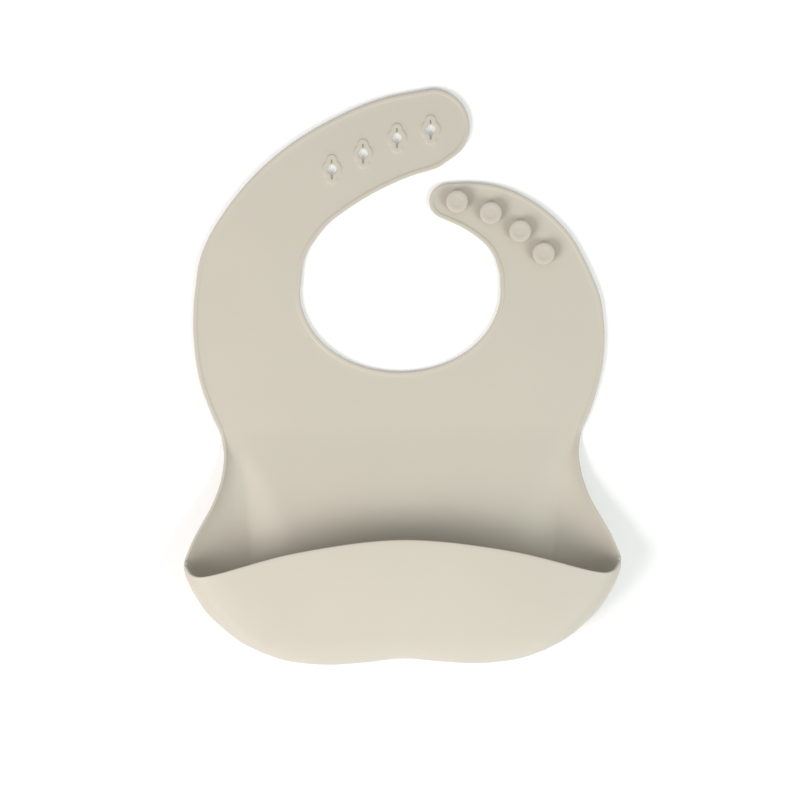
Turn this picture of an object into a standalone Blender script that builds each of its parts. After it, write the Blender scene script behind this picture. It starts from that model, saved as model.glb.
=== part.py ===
"""Silicone baby bib: a chest panel, a catching pocket, a strap with keyholes and a strap with studs.

The bib is one soft moulding, so it is modelled as its stiff regions and the bends between them. Each
bend of the flat sheet is a knuckle: a round nose on one region turning in a round socket on the next.

Frame: metres, +Z up from the table that the bib lies on, +Y from the pocket towards the neck, and +X
to the right as seen from above. The origin is under the middle of the outline. The dimensions below
are in millimetres, and MM turns them into metres when a mesh is made.
"""

import math

import bmesh
import bpy
import numpy as np

MM = 0.001

# The sheet
THICK = 1.8
GAP = 0.3
SHEET_MARGIN = 3.0

# Bends: each line runs from the outer edge to the neck edge of the sheet
WAIST_Y = -14.0
SHOULDER_Y = 44.8
NOSE_R = THICK / 2 + 0.02
SOCKET_R = NOSE_R + GAP
NOSE_SIDES = 10
NOSE_DEPTH = 260.0
NOSE_SPARE = 150.0
SOCKET_DEPTH = 12.0
SOCKET_SPARE = 6.0
BEND_TALL = 5.0
WAIST_HALF = 115.0

# Neck opening: the lower half is half an ellipse whose ends meet the straps at the shoulder bends
NECK_X = 0.35
NECK_HALF_WIDTH = 52.65
NECK_DEPTH = 42.6
NECK_STEPS = 30

# Outer edge of the left side, from below the waist up to the round end of the hole strap
LEFT_OUTER = [
    (-100.2, -17.0), (-104.7, -4.0), (-107.3, 9.0), (-108.5, 24.0), (-108.3, 35.0), (-107.5, SHOULDER_Y),
    (-104.1, 64.0), (-94.8, 82.5), (-77.8, 104.0), (-56.8, 122.0), (-31.4, 136.5), (-8.0, 145.6),
    (18.2, 150.6),
]
# Neck edge of the hole strap, from its round end back to the shoulder bend
LEFT_INNER = [
    (28.0, 114.0), (20.0, 108.9), (5.0, 104.3), (-13.0, 96.2), (-30.2, 85.6), (-40.5, 76.6),
    (-49.6, 62.5), (-52.3, SHOULDER_Y),
]
# Neck edge of the stud strap, from the shoulder bend up to its round end
RIGHT_INNER = [(53.0, SHOULDER_Y), (52.2, 55.0), (47.3, 66.5), (35.7, 76.2), (21.5, 83.1)]
# Outer edge of the right side, from the round end of the stud strap down to below the waist
RIGHT_OUTER = [
    (25.4, 100.8), (38.5, 101.1), (51.9, 99.2), (65.5, 93.9), (80.0, 83.8), (92.4, 69.4),
    (103.9, SHOULDER_Y), (106.9, 29.0), (107.2, 15.0), (105.2, 0.0), (100.2, -17.0),
]
OUTLINE_STEPS = 4
# How far a region's outline runs past its bends before the nose and the socket are cut, in list places
OUTLINE_SPARE = 0.25

# Round strap ends: centre, radius, first and last angle
HOLE_END = ((18.2, 131.0), 19.6, 90.0, -60.0)
STUD_END = ((25.4, 91.5), 9.3, -115.0, -270.0)
END_STEPS = 14

# Where the bends cross the edges, as places in the lists above
LEFT_SHOULDER = (5, 7)
LEFT_MIDDLE = (8, 5)
LEFT_TIP = (9, 4)
RIGHT_SHOULDER = (6, 0)
RIGHT_TIP = (3, 2)

# Keyholes: a round hole with a slit above and below it, in a raised three-lobed collar
KEYHOLES = [(-34.8, 109.0), (-18.3, 117.0), (-0.4, 125.0), (17.3, 129.2)]
HOLE_R = 2.55
SLIT_HALF_WIDTH = 0.5
SLIT_REACH = 5.1
COLLAR_LOBES = [(0.0, 5.0), (4.95, 2.8), (-4.7, 3.0)]
COLLAR_HEIGHT = 0.5
COLLAR_ROOT = 0.6
COLLAR_STEPS = 40
HOLE_STEPS = 12
CUT_BELOW = 2.0
CUT_ABOVE = 4.0

# Studs: a stem with a flat round head and a shallow dish in the middle of the head
STUDS = [(30.7, 91.3), (48.3, 85.1), (63.6, 75.4), (75.8, 63.5)]
STEM_R = 2.5
HEAD_R = 5.85
HEAD_LOW = 2.6
HEAD_TOP = 5.2
HEAD_ROUND = 0.9
HEAD_ROOT = 0.4
DISH_R = 2.8
DISH_DEPTH = 0.2
DISH_SLOPE = 0.4
STUD_SIDES = 28

# The pocket, outer face. Half outlines from the middle or the crease outwards, mirrored about X = 0.
WAIST_EDGE = [(-9.0, 103.0), (-14.0, 101.3), (-19.5, 99.1), (-24.5, 96.8)]
CREASE = [
    (95.4, -26.0, 0.0), (91.9, -30.5, 0.0), (88.4, -36.0, 0.0), (85.7, -43.0, 0.0), (83.4, -53.0, 0.0),
    (82.0, -66.0, 0.0), (80.3, -90.0, 0.0), (77.2, -118.0, 0.0), (74.0, -133.0, 0.0),
]
WING_EDGE = [
    (96.6, -25.0, 0.0), (94.0, -33.0, 1.2), (93.3, -43.0, 4.6), (95.2, -54.5, 7.6), (99.5, -66.0, 10.6),
    (104.5, -75.0, 12.8), (109.5, -84.0, 14.7), (113.2, -92.5, 16.4),
]
WALL_HALF = 74.0
FOLD_Y = [(0.0, -147.8), (20.0, -149.6), (40.0, -150.6), (60.0, -148.5), (WALL_HALF, -143.9)]
FOLD_Z = (14.0, 15.0)
FOLD_INSET = 10.9
FLEX_Y = -137.5
FLEX_Z = 31.0
FLEX_SLOPE = math.radians(12)
RIM_Y = [(0.0, -85.2), (20.0, -86.3), (40.0, -88.9), (60.0, -92.4), (WALL_HALF, -95.8)]
RIM_Z = (38.0, 34.5)
RIM_SLOPE = math.radians(2)
SIDE_LOW = [
    (WALL_HALF, -133.0, 0.0), (82.5, -127.5, 1.2), (92.0, -118.0, 3.2), (99.5, -110.0, 5.8),
    (105.5, -103.4, 8.8), (110.2, -97.6, 12.4), (113.2, -92.5, 16.4),
]
SIDE_FOLD = [
    (WALL_HALF, -143.9, 15.0), (86.4, -137.2, 15.6), (100.5, -124.8, 17.0), (106.8, -116.3, 18.0),
    (111.4, -108.0, 18.9), (113.9, -101.0, 19.2), (114.1, -95.4, 18.6),
]
SIDE_FLEX = [
    (WALL_HALF, FLEX_Y, FLEX_Z), (84.5, -131.5, 31.0), (94.5, -121.5, 30.4), (102.5, -112.8, 28.9),
    (108.6, -107.0, 26.6), (112.2, -103.4, 24.2), (113.7, -100.3, 21.9), (113.9, -97.4, 20.6),
]
SIDE_RIM = [
    (WALL_HALF, -95.8, 34.5), (84.0, -98.6, 33.4), (94.0, -101.4, 31.9), (102.5, -103.3, 30.0),
    (107.2, -103.6, 28.3), (110.8, -102.3, 26.1), (112.9, -99.5, 23.2),
]
TIP_THICK = 1.1

# The bow that lifts the middle of the back sheet off the table, with a ramp along each crease
BOW_HEIGHT = 4.6
BOW_START_Y = -28.0
BOW_LENGTH = 62.0
BOW_POWER = 0.7
BOW_END_Y = -130.0
BOW_FADE = 24.0
RAMP_WIDTH = 11.0
RAMP_WIDENS_Y = -45.0
RAMP_WIDENING = 0.37

# How far the curves of a column keep their direction, as shares of the distance between their ends
FOLD_PULL = 0.55
BEND_PULL = 0.5
WALL_PULL = 0.33

# The pocket's grid of points, and the gaps between its regions at each face
MIDDLE_COLUMNS = 7
SIDE_COLUMNS = 8
BACK_STEPS = [0.0, 0.05, 0.12, 0.2, 0.3, 0.4, 0.5, 0.6, 0.7, 0.8, 0.9, 1.0]
FOLD_STEPS = 3
WALL_STEPS = 6
SEAM = 0.16
FLEX_SEAM = 0.55

SILICONE = (0.563, 0.524, 0.442, 1.0)
STUD_SILICONE = (0.552, 0.514, 0.433, 1.0)
ROUGHNESS = 0.5


# Curves ------------------------------------------------------------------------------------------


def spline(points, place):
    """The point at a place, counted in control points, on the smooth curve through them."""
    p = np.array(points, float)
    p = np.vstack([2 * p[0] - p[1], p, 2 * p[-1] - p[-2]])
    i = min(int(place), len(points) - 2)
    t = place - i
    a, b, c, d = p[i : i + 4]
    return 0.5 * (
        2 * b + (c - a) * t + (2 * a - 5 * b + 4 * c - d) * t**2 + (3 * b - a - 3 * c + d) * t**3
    )


def stretch(points, first, last):
    """The smooth curve's points from one place to another, ends included."""
    count = max(2, int(round(abs(last - first) * OUTLINE_STEPS)) + 1)
    return [spline(points, place) for place in np.linspace(first, last, count)]


def along(points, share):
    """The point at a share of the smooth curve's length."""
    dense = np.array([spline(points, place) for place in np.linspace(0, len(points) - 1, 200)])
    length = np.concatenate([[0], np.cumsum(np.linalg.norm(np.diff(dense, axis=0), axis=1))])
    return np.array([np.interp(share * length[-1], length, axis) for axis in dense.T])


def height_at(pairs, x):
    """Y at x on the smooth curve through pairs, given from the middle outwards and mirrored about X = 0."""
    whole = [(-a, b) for a, b in pairs[:0:-1]] + pairs
    dense = np.array([spline(whole, place) for place in np.linspace(0, len(whole) - 1, 240)])
    return float(np.interp(x, dense[:, 0], dense[:, 1]))


def arc(centre, radius, first, last, steps):
    """Points on an arc, angles in degrees, ends included."""
    angles = np.radians(np.linspace(first, last, steps + 1))
    return [np.array([centre[0] + radius * math.cos(a), centre[1] + radius * math.sin(a)]) for a in angles]


def bezier(start, start_pull, end, end_pull, share):
    """A point on the cubic curve that leaves start along start_pull and reaches end along end_pull."""
    a = start + start_pull
    b = end - end_pull
    s = 1 - share
    return s**3 * start + 3 * s * s * share * a + 3 * s * share**2 * b + share**3 * end


def ease(value):
    """0 below 0, 1 above 1, smooth between."""
    t = min(1.0, max(0.0, value))
    return t * t * (3 - 2 * t)


def unit(vector):
    return vector / np.linalg.norm(vector)


# Meshes ------------------------------------------------------------------------------------------


def material(name, colour):
    """A plain silicone."""
    made = bpy.data.materials.get(name)
    if made is None:
        made = bpy.data.materials.new(name)
        made.use_nodes = True
        shader = made.node_tree.nodes["Principled BSDF"]
        shader.inputs["Base Color"].default_value = colour
        shader.inputs["Roughness"].default_value = ROUGHNESS
        shader.inputs["Metallic"].default_value = 0.0
    return made


def add_object(name, build, colour=None, origin=(0.0, 0.0, 0.0)):
    """An object from a bmesh in millimetres, with its origin at a point in millimetres."""
    build.normal_update()
    bmesh.ops.translate(build, verts=build.verts, vec=[-value for value in origin])
    bmesh.ops.scale(build, verts=build.verts, vec=(MM, MM, MM))
    mesh = bpy.data.meshes.new(name)
    build.to_mesh(mesh)
    build.free()
    mesh.shade_smooth()
    mesh.set_sharp_from_angle(angle=math.radians(35))
    made = bpy.data.objects.new(name, mesh)
    made.location = [value * MM for value in origin]
    bpy.context.scene.collection.objects.link(made)
    if colour is None:
        made.hide_render = True
        made.display_type = "WIRE"
    else:
        mesh.materials.append(material(name, colour))
    return made


def prism(build, outline, low, high, frame=None):
    """Adds an upright prism. frame turns (x, y, z) into the place wanted, if the prism isn't upright."""
    place = frame or (lambda x, y, z: (x, y, z))
    bottom = [build.verts.new(place(x, y, low)) for x, y in outline]
    top = [build.verts.new(place(x, y, high)) for x, y in outline]
    faces = [build.faces.new(bottom), build.faces.new(top)]
    for i in range(len(outline)):
        j = (i + 1) % len(outline)
        faces.append(build.faces.new((bottom[i], bottom[j], top[j], top[i])))
    bmesh.ops.recalc_face_normals(build, faces=faces)


def boolean(target, cutter, operation):
    """Joins, cuts or keeps target by cutter, and leaves the modifier on the object."""
    made = target.modifiers.new(cutter.name, "BOOLEAN")
    made.operation = operation
    made.solver = "EXACT"
    made.object = cutter


def cleared(outline):
    """The outline without points that repeat the one before."""
    kept = []
    for point in outline:
        if not kept or np.linalg.norm(np.array(point) - kept[-1]) > 0.05:
            kept.append(np.array(point))
    if np.linalg.norm(kept[0] - kept[-1]) < 0.05:
        kept.pop()
    return kept


def flat_sheet(name, outline, origin, colour=SILICONE):
    """A flat region of the sheet, lying on the table."""
    build = bmesh.new()
    prism(build, cleared(outline), 0.0, THICK)
    return add_object(name, build, colour, origin)


# Bends -------------------------------------------------------------------------------------------


def bend_shape(name, outer, inner, radius, depth, spare):
    """The space on the left of the line from outer to inner, with a round nose past the line.

    The nose runs along the line at the middle of the sheet's thickness, and the space reaches spare
    beyond both ends of the line. Intersecting with this shape rounds a region's end, and cutting
    with one that has a larger nose makes the socket that it turns in.
    """
    start = np.array(outer, float)
    run = unit(np.array(inner, float) - start)
    side = np.array([-run[1], run[0]])
    length = np.linalg.norm(np.array(inner, float) - start) + 2 * spare
    start = start - run * spare
    profile = [(depth, -BEND_TALL), (0.0, -BEND_TALL)]
    for angle in np.linspace(-90, 90, NOSE_SIDES + 1):
        profile.append(
            (-radius * math.cos(math.radians(angle)), radius * math.sin(math.radians(angle)))
        )
    profile += [(0.0, BEND_TALL), (depth, BEND_TALL)]

    def place(across, up, distance):
        x, y = start + run * distance + side * across
        return (x, y, THICK / 2 + up)

    build = bmesh.new()
    prism(build, profile, 0.0, length, place)
    return add_object(name, build)


def nose(target, name, outer, inner):
    """Ends target at the line, with a round nose. Target lies on the left of the line."""
    boolean(target, bend_shape(name, outer, inner, NOSE_R, NOSE_DEPTH, NOSE_SPARE), "INTERSECT")


def socket(target, name, outer, inner):
    """Ends target at the line, with a socket. Target lies on the right of the line."""
    boolean(target, bend_shape(name, outer, inner, SOCKET_R, SOCKET_DEPTH, SOCKET_SPARE), "DIFFERENCE")


def left_bend(places):
    return LEFT_OUTER[places[0]], LEFT_INNER[places[1]]


def right_bend(places):
    """The line's ends in the order that keeps the strap's free end on the left of the line."""
    return RIGHT_INNER[places[1]], RIGHT_OUTER[places[0]]


def middle_of(line, height=THICK / 2):
    return ((line[0][0] + line[1][0]) / 2, (line[0][1] + line[1][1]) / 2, height)


# Flat regions ------------------------------------------------------------------------------------


def neck_curve():
    """The lower half of the neck opening, from right to left."""
    angles = np.radians(np.linspace(0, -180, NECK_STEPS + 1))
    return [
        np.array([NECK_X + NECK_HALF_WIDTH * math.cos(a), SHOULDER_Y + NECK_DEPTH * math.sin(a)])
        for a in angles
    ]


def shoulder_ends(outer, inner, places):
    """X of a shoulder bend's outer end and of its neck end."""
    return outer[places[0]][0], inner[places[1]][0]


def chest_panel():
    """The U round the front of the neck, from the waist to both shoulders."""
    top = SHOULDER_Y + SHEET_MARGIN
    outline = stretch(RIGHT_OUTER, len(RIGHT_OUTER) - 1, RIGHT_SHOULDER[0])
    outline += [np.array([x, top]) for x in shoulder_ends(RIGHT_OUTER, RIGHT_INNER, RIGHT_SHOULDER)]
    outline += neck_curve()
    outline += [np.array([x, top]) for x in shoulder_ends(LEFT_OUTER, LEFT_INNER, LEFT_SHOULDER)[::-1]]
    outline += stretch(LEFT_OUTER, LEFT_SHOULDER[0], 0)
    made = flat_sheet("chest_panel", outline, (0.0, WAIST_Y, THICK / 2))
    nose(made, "waist_nose", (-WAIST_HALF, WAIST_Y), (WAIST_HALF, WAIST_Y))
    socket(made, "hole_shoulder_socket", *left_bend(LEFT_SHOULDER))
    socket(made, "stud_shoulder_socket", *right_bend(RIGHT_SHOULDER))
    return made


def hole_strap():
    """The three regions of the strap with the keyholes, from the shoulder to the round end."""
    spare = OUTLINE_SPARE
    bends = [LEFT_SHOULDER, LEFT_MIDDLE, LEFT_TIP]
    names = ["hole_strap_shoulder", "hole_strap_middle"]
    for i, name in enumerate(names):
        low, high = bends[i], bends[i + 1]
        outline = stretch(LEFT_OUTER, low[0] - spare, high[0] + spare)
        outline += stretch(LEFT_INNER, high[1] - spare, min(low[1] + spare, len(LEFT_INNER) - 1))
        if i == 0:
            neck_x = shoulder_ends(LEFT_OUTER, LEFT_INNER, LEFT_SHOULDER)[1]
            outline.append(np.array([neck_x, SHOULDER_Y - SHEET_MARGIN]))
        made = flat_sheet(name, outline, middle_of(left_bend(low)))
        nose(made, name + "_nose", *left_bend(low))
        socket(made, name + "_socket", *left_bend(high))

    outline = stretch(LEFT_OUTER, LEFT_TIP[0] - spare, len(LEFT_OUTER) - 1)
    outline += arc(*HOLE_END, END_STEPS)
    outline += stretch(LEFT_INNER, 0, LEFT_TIP[1] + spare)
    tip = flat_sheet("hole_strap_tip", outline, middle_of(left_bend(LEFT_TIP)))
    boolean(tip, collars(), "UNION")
    boolean(tip, keyholes(), "DIFFERENCE")
    nose(tip, "hole_strap_tip_nose", *left_bend(LEFT_TIP))


def stud_strap():
    """The two regions of the strap with the studs."""
    spare = OUTLINE_SPARE
    low, high = RIGHT_SHOULDER, RIGHT_TIP
    outline = stretch(RIGHT_INNER, 0, high[1] + spare)
    outline += stretch(RIGHT_OUTER, high[0] - spare, low[0] + spare)
    neck_x = shoulder_ends(RIGHT_OUTER, RIGHT_INNER, RIGHT_SHOULDER)[1]
    outline.append(np.array([neck_x, SHOULDER_Y - SHEET_MARGIN]))
    made = flat_sheet("button_strap_shoulder", outline, middle_of(right_bend(low)))
    nose(made, "button_strap_shoulder_nose", *right_bend(low))
    socket(made, "button_strap_shoulder_socket", *right_bend(high))

    outline = stretch(RIGHT_INNER, high[1] - spare, len(RIGHT_INNER) - 1)
    outline += arc(*STUD_END, END_STEPS)
    outline += stretch(RIGHT_OUTER, 0, high[0] + spare)
    made = flat_sheet("button_strap_tip", outline, middle_of(right_bend(high)))
    nose(made, "button_strap_tip_nose", *right_bend(high))


def collar_reach(angle):
    """How far a collar reaches from the middle of its hole in one direction."""
    reach = 0.0
    for offset, radius in COLLAR_LOBES:
        along_ray = offset * math.sin(angle)
        beside_ray = offset * math.cos(angle)
        if abs(beside_ray) < radius:
            reach = max(reach, along_ray + math.sqrt(radius**2 - beside_ray**2))
    return reach


def collars():
    """The raised collars of all the keyholes."""
    build = bmesh.new()
    for x, y in KEYHOLES:
        outline = []
        for i in range(COLLAR_STEPS):
            angle = 2 * math.pi * (i + 0.5) / COLLAR_STEPS
            reach = collar_reach(angle)
            outline.append((x + reach * math.cos(angle), y + reach * math.sin(angle)))
        prism(build, outline, THICK - COLLAR_ROOT, THICK + COLLAR_HEIGHT)
    return add_object("collars", build)


def keyholes():
    """The through-cuts of all the keyholes: a circle and a slit above and below it."""
    start = math.degrees(math.acos(SLIT_HALF_WIDTH / HOLE_R))
    build = bmesh.new()
    for x, y in KEYHOLES:
        outline = arc((x, y), HOLE_R, -start, start, HOLE_STEPS)
        outline += [np.array([x + SLIT_HALF_WIDTH, y + SLIT_REACH])]
        outline += [np.array([x - SLIT_HALF_WIDTH, y + SLIT_REACH])]
        outline += arc((x, y), HOLE_R, 180 - start, 180 + start, HOLE_STEPS)
        outline += [np.array([x - SLIT_HALF_WIDTH, y - SLIT_REACH])]
        outline += [np.array([x + SLIT_HALF_WIDTH, y - SLIT_REACH])]
        prism(build, outline, -CUT_BELOW, THICK + CUT_ABOVE)
    return add_object("keyholes", build)


def stud_profile():
    """Radius and height pairs of a stud, from the middle of its foot to the middle of its head."""
    foot = THICK + GAP
    low = THICK + HEAD_LOW
    top = THICK + HEAD_TOP
    edge = HEAD_R - HEAD_ROUND
    profile = [(STEM_R, foot), (STEM_R, low - HEAD_ROOT), (STEM_R + HEAD_ROOT, low), (edge, low)]
    profile += [tuple(p) for p in arc((edge, low + HEAD_ROUND), HEAD_ROUND, -60, 0, 2)]
    profile += [tuple(p) for p in arc((edge, top - HEAD_ROUND), HEAD_ROUND, 0, 90, 3)]
    profile += [(DISH_R + DISH_SLOPE, top), (DISH_R, top - DISH_DEPTH)]
    return profile


def stud(number, x, y):
    """One stud, turned round its own axis, standing just clear of the strap."""
    build = bmesh.new()
    rings = []
    for radius, z in stud_profile():
        ring = []
        for i in range(STUD_SIDES):
            angle = 2 * math.pi * i / STUD_SIDES
            ring.append(build.verts.new((x + radius * math.cos(angle), y + radius * math.sin(angle), z)))
        rings.append(ring)
    for low, high in zip(rings, rings[1:]):
        for i in range(STUD_SIDES):
            j = (i + 1) % STUD_SIDES
            build.faces.new((low[i], low[j], high[j], high[i]))
    build.faces.new(list(reversed(rings[0])))
    build.faces.new(rings[-1])
    add_object(f"button_{number}", build, STUD_SILICONE, (x, y, THICK))


# Pocket ------------------------------------------------------------------------------------------


def patch(side_a, side_b, near, far, across, down):
    """A point of the surface between four edges: across from side_a to side_b, down from near to far."""
    a, b = side_a(down), side_b(down)
    n, f = near(across), far(across)
    ruled = (1 - across) * a + across * b + (1 - down) * n + down * f
    corners = (1 - down) * ((1 - across) * near(0) + across * near(1))
    return ruled - corners - down * ((1 - across) * far(0) + across * far(1))


def back_middle(across, down):
    """The back sheet between the creases, with its bow. across runs from the middle to the crease."""
    point = patch(
        lambda t: np.array([0.0, CREASE[0][1] + t * (low_point(0.0)[1] - CREASE[0][1]), 0.0]),
        lambda t: along(CREASE, t),
        lambda s: np.array([CREASE[0][0] * s, CREASE[0][1], 0.0]),
        low_point,
        across,
        down,
    )
    from_crease = (1 - across) * along(CREASE, down)[0]
    return point + np.array([0.0, 0.0, bow(point[1], from_crease)])


def bow(y, from_crease):
    """How high the back sheet is lifted at y and at a distance from the crease."""
    ramp = RAMP_WIDTH + RAMP_WIDENING * max(RAMP_WIDENS_Y - y, 0.0)
    rise = ease((BOW_START_Y - y) / BOW_LENGTH) ** BOW_POWER * ease((y - BOW_END_Y) / BOW_FADE)
    return BOW_HEIGHT * rise * ease(from_crease / ramp)


def back_side(across, down):
    """The wing outside the crease. across runs from the crease to the free edge."""
    crease_top, edge_top = np.array(CREASE[0]), np.array(WING_EDGE[0])
    return patch(
        lambda t: along(CREASE, t),
        lambda t: along(WING_EDGE, t),
        lambda s: (1 - s) * crease_top + s * edge_top,
        lambda s: along(SIDE_LOW, s),
        across,
        down,
    )


def low_point(across):
    x = WALL_HALF * across
    return np.array([x, height_at(FOLD_Y, x) + FOLD_INSET, 0.0])


def middle_profile(across):
    """The bottom fold's outermost point, the flex line and the rim, for a middle column."""
    x = WALL_HALF * across
    fold = np.array([x, height_at(FOLD_Y, x), FOLD_Z[0] + (FOLD_Z[1] - FOLD_Z[0]) * across**2])
    flex = np.array([x, FLEX_Y, FLEX_Z])
    rim = np.array([x, height_at(RIM_Y, x), RIM_Z[0] + (RIM_Z[1] - RIM_Z[0]) * across**2])
    return fold, flex, rim


def side_profile(across):
    """The same points for a side column, from the crease's end to the wing's tip."""
    return tuple(along(points, across) for points in (SIDE_FOLD, SIDE_FLEX, SIDE_RIM))


def wall_directions(flex, rim, straight):
    """Directions of the wall at its flex line and its rim: domed where straight is 0, flat where 1."""
    up = np.array([0.0, 0.0, 1.0])
    lean = unit((rim - flex) * (1, 1, 0))
    chord = unit(rim - flex)
    made = []
    for slope in (FLEX_SLOPE, RIM_SLOPE):
        domed = lean * math.cos(slope) + up * math.sin(slope)
        made.append(unit(domed * (1 - straight) + chord * straight))
    return made


def column(across, is_side):
    """The outer face's points down one column: back sheet, bottom fold, front wall up to the rim."""
    points = [(back_side if is_side else back_middle)(across, step) for step in BACK_STEPS]
    fold, flex, rim = (side_profile if is_side else middle_profile)(across)
    at_flex, at_rim = wall_directions(flex, rim, across if is_side else 0.0)
    low = points[-1]
    out = unit(low - points[-2]) * np.linalg.norm((fold - low)[:2]) * FOLD_PULL
    rise = np.array([0.0, 0.0, 1.0]) * FOLD_PULL
    lean = at_flex * np.linalg.norm((flex - fold)[:2]) * BEND_PULL
    reach = np.linalg.norm(rim - flex) * WALL_PULL
    curves = [
        (low, out, fold, rise * (fold[2] - low[2]), FOLD_STEPS),
        (fold, rise * (flex[2] - fold[2]), flex, lean, FOLD_STEPS),
        (flex, at_flex * reach, rim, at_rim * reach, WALL_STEPS),
    ]
    for start, start_pull, end, end_pull, steps in curves:
        for i in range(1, steps + 1):
            points.append(bezier(start, start_pull, end, end_pull, i / steps))
    return np.array(points)


def pocket_faces():
    """Outer and inner face of the pocket as grids: rows down the back and up the wall, columns across."""
    half = [column(i / MIDDLE_COLUMNS, False) for i in range(MIDDLE_COLUMNS + 1)]
    half += [column(i / SIDE_COLUMNS, True) for i in range(1, SIDE_COLUMNS + 1)]
    right = np.array(half)
    left = right[:0:-1] * (-1, 1, 1)
    outer = np.concatenate([left, right]).transpose(1, 0, 2)
    across = np.gradient(outer, axis=1)
    down = np.gradient(outer, axis=0)
    normal = np.cross(across, down)
    normal /= np.linalg.norm(normal, axis=2, keepdims=True)
    middle = MIDDLE_COLUMNS + SIDE_COLUMNS
    fold_row = len(BACK_STEPS) - 1 + FOLD_STEPS
    for edge in (middle - MIDDLE_COLUMNS, middle + MIDDLE_COLUMNS):
        # the wall's side edges stay in the plane that the front flap turns in
        normal[fold_row:, edge, 0] = 0
    normal /= np.linalg.norm(normal, axis=2, keepdims=True)
    share = np.abs(np.arange(outer.shape[1]) - middle) - MIDDLE_COLUMNS
    share = np.clip(share / SIDE_COLUMNS, 0, 1)
    thick = THICK + (TIP_THICK - THICK) * share**2
    return outer, outer - normal * thick[None, :, None]


def trimmed(grid, ends):
    """The grid with its first row, last row, first and last column drawn in by the given distances."""
    made = grid.copy()
    for axis, (first, last) in enumerate(ends):
        moved = np.moveaxis(made, axis, 0)
        for edge, inner, distance in ((0, 1, first), (-1, -2, last)):
            step = moved[inner] - moved[edge]
            length = np.maximum(np.linalg.norm(step, axis=1, keepdims=True), 1e-6)
            moved[edge] += step / length * np.minimum(distance, 0.6 * length)
    return made


def shell(name, outer, inner, origin):
    """A closed curved sheet between two grids of points."""
    build = bmesh.new()
    rows, columns = outer.shape[:2]
    out = [[build.verts.new(p) for p in row] for row in outer]
    ins = [[build.verts.new(p) for p in row] for row in inner]
    for i in range(rows - 1):
        for j in range(columns - 1):
            build.faces.new((out[i][j], out[i][j + 1], out[i + 1][j + 1], out[i + 1][j]))
            build.faces.new((ins[i][j], ins[i + 1][j], ins[i + 1][j + 1], ins[i][j + 1]))
    border = [(0, j) for j in range(columns)]
    border += [(i, columns - 1) for i in range(1, rows)]
    border += [(rows - 1, j) for j in range(columns - 2, -1, -1)]
    border += [(i, 0) for i in range(rows - 2, 0, -1)]
    for (a, b), (c, d) in zip(border, border[1:] + border[:1]):
        build.faces.new((out[a][b], ins[a][b], ins[c][d], out[c][d]))
    bmesh.ops.recalc_face_normals(build, faces=build.faces)
    bmesh.ops.triangulate(build, faces=build.faces)
    return add_object(name, build, SILICONE, origin)


def pocket():
    """The back sheet below the waist, both gussets, the bottom fold and the front wall."""
    outer, inner = pocket_faces()
    middle = MIDDLE_COLUMNS + SIDE_COLUMNS
    left, right = middle - MIDDLE_COLUMNS, middle + MIDDLE_COLUMNS
    low_row = len(BACK_STEPS) - 1
    flex_row = low_row + 2 * FOLD_STEPS

    def region(name, rows, columns, ends, origin):
        cut = (slice(rows[0], rows[1] + 1), slice(columns[0], columns[1] + 1))
        shell(name, trimmed(outer[cut], ends), trimmed(inner[cut], ends), origin)

    root = (0.0, 0.0, 0.0)
    last = flex_row + WALL_STEPS
    region("left_gusset", (1, last), (0, left), ((SEAM, 0.0), (0.0, SEAM)), root)
    region("right_gusset", (1, last), (right, 2 * middle), ((SEAM, 0.0), (SEAM, 0.0)), root)
    region("pocket_bottom", (low_row, flex_row), (left, right), ((SEAM, FLEX_SEAM), (SEAM, SEAM)), root)
    hinge = (0.0, FLEX_Y + THICK / 2 * math.sin(FLEX_SLOPE), FLEX_Z - THICK / 2 * math.cos(FLEX_SLOPE))
    region("pocket_front", (flex_row, last), (left, right), ((FLEX_SEAM, 0.0), (SEAM, SEAM)), hinge)
    lower_panel(outer[: low_row + 1, left : right + 1], inner[: low_row + 1, left : right + 1])


def lower_panel(outer, inner):
    """The back sheet from the waist bend down to the bottom fold, with the flat band below the bend."""
    share = np.linspace(-1, 1, outer.shape[1])
    band = []
    for y, half in WAIST_EDGE:
        band.append([(half * s, y, 0.0) for s in share])
    flat = np.array(band)
    ends = ((0.0, SEAM), (SEAM, SEAM))
    outer = np.concatenate([flat, outer])
    inner = np.concatenate([flat + (0, 0, THICK), inner])
    made = shell("lower_panel", trimmed(outer, ends), trimmed(inner, ends), (0.0, 0.0, 0.0))
    socket(made, "waist_socket", (-WAIST_HALF, WAIST_Y), (WAIST_HALF, WAIST_Y))


def main():
    for old in list(bpy.data.objects):
        bpy.data.objects.remove(old)
    chest_panel()
    hole_strap()
    stud_strap()
    for number, (x, y) in enumerate(STUDS, 1):
        stud(number, x, y)
    pocket()


main()
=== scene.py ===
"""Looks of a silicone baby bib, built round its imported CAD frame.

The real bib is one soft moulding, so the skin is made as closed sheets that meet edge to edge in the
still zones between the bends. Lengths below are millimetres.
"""

import math

import bpy
import numpy as np
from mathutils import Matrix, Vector
from mathutils.geometry import delaunay_2d_cdt


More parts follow.
